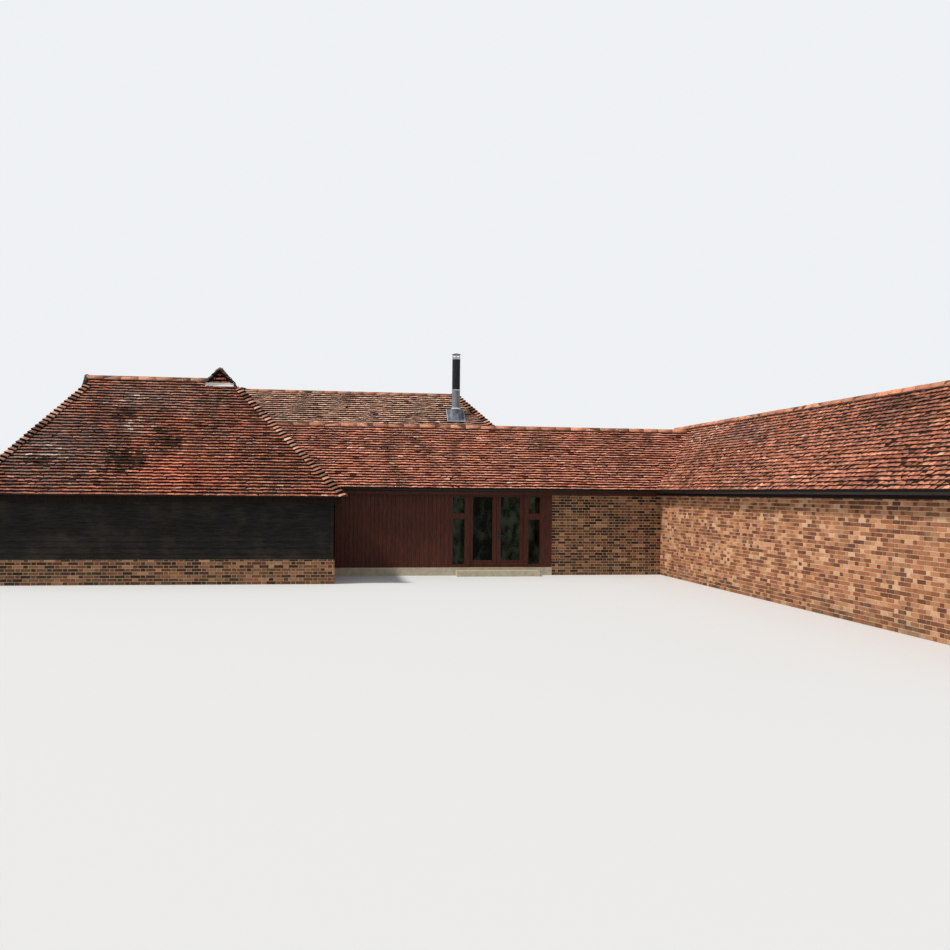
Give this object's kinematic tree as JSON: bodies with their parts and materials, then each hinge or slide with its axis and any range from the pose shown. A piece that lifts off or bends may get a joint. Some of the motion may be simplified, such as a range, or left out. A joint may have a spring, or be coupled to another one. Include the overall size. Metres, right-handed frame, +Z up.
{
  "type": "courtyard farmhouse",
  "caption": "Single-storey farmhouse round a yard: hipped barn, low link with glazed doors and long wing under clay peg tiles.",
  "frame": {"origin": "on the ground, under the middle of the whole plan", "axes": "+Z up, +X to the right along the link range, +Y from the open yard towards the back of the house"},
  "size_m": [21.472, 26.69, 6.99],
  "materials": {
    "floor_stone": "plain slabs, matt",
    "brickwork": "weathered red and orange stock bricks with pale lime mortar",
    "black_boards": "black tarred weatherboards, matt",
    "old_tiles": "old clay peg tiles, red and brown with moss and lichen",
    "grey_tiles": "old clay peg tiles, greyer with lichen",
    "red_tiles": "clay peg tiles, warm red with lichen",
    "ridge_tiles": "clay ridge and bonnet tiles, weathered",
    "old_timber": "dark weathered barge boards",
    "lead": "dull grey sheet lead, whitened by weather",
    "stained_timber": "dark red-brown stained joinery, satin",
    "gutter_paint": "black gutters, satin",
    "pale_stone": "pale sill and step, matt",
    "window_glass": "clear window glass",
    "black_flue": "black flue pipe, satin",
    "flue_steel": "plain steel, brushed",
    "handle_metal": "brushed steel"
  },
  "bodies": {
    "house": {"floor_slab": "floor_stone", "barn_plinth": "brickwork", "barn_front_wall": "black_boards", "barn_left_wall": "black_boards", "barn_rear_wall": "black_boards", "barn_side_wall": "black_boards", "barn_yard_wall": "black_boards", "barn_link_wall": "brickwork", "link_brick_wall": "brickwork", "link_rear_wall": "brickwork", "wing_yard_wall": "brickwork", "wing_outer_wall": "brickwork", "wing_near_gable": "brickwork", "wing_far_gable": "brickwork", "barn_front_slope": "old_tiles", "barn_end_slope": "old_tiles", "barn_back_slope": "old_tiles", "barn_left_slope": "old_tiles", "barn_yard_slope": "old_tiles", "barn_inner_slope": "grey_tiles", "barn_rear_slope": "grey_tiles", "barn_side_slope": "grey_tiles", "link_front_slope": "red_tiles", "link_rear_slope": "red_tiles", "wing_yard_slope": "red_tiles", "wing_outer_slope": "red_tiles", "gablets": "old_timber", "gablet_flashings": "lead", "barn_ridges": "ridge_tiles", "link_ridge": "ridge_tiles", "wing_ridge": "ridge_tiles", "barn_front_hips": "ridge_tiles", "barn_rear_hips": "ridge_tiles", "valley_gutter": "lead", "link_fascia": "stained_timber", "link_gutter": "gutter_paint", "wing_gutter": "gutter_paint", "screen_head": "stained_timber", "screen_sill": "pale_stone", "door_step": "pale_stone", "screen_left": "stained_timber", "screen_right": "stained_timber", "screen_glass": "window_glass", "boarded_panel": "stained_timber", "frame_hinges": "handle_metal", "flue_pipe": "black_flue", "flue_cap": "flue_steel", "flue_collar": "flue_steel", "flue_flashing": "lead", "casements": "stained_timber", "casement_panes": "window_glass"},
    "left_door": {"door_left": "stained_timber", "door_left_glass": "window_glass", "door_left_hinges": "handle_metal"},
    "right_door": {"door_right": "stained_timber", "door_right_glass": "window_glass", "door_right_hinges": "handle_metal", "door_handle": "handle_metal"}
  },
  "joints": [
    {"name": "left_door_hinge", "type": "hinge", "parent": "house", "child": "left_door", "pos_m": [1.582, 3.165, 1.2], "axis": [0, 0, 1], "range_deg": [0, 95]},
    {"name": "right_door_hinge", "type": "hinge", "parent": "house", "child": "right_door", "pos_m": [3.142, 3.165, 1.2], "axis": [0, 0, -1], "range_deg": [0, 95]}
  ]
}
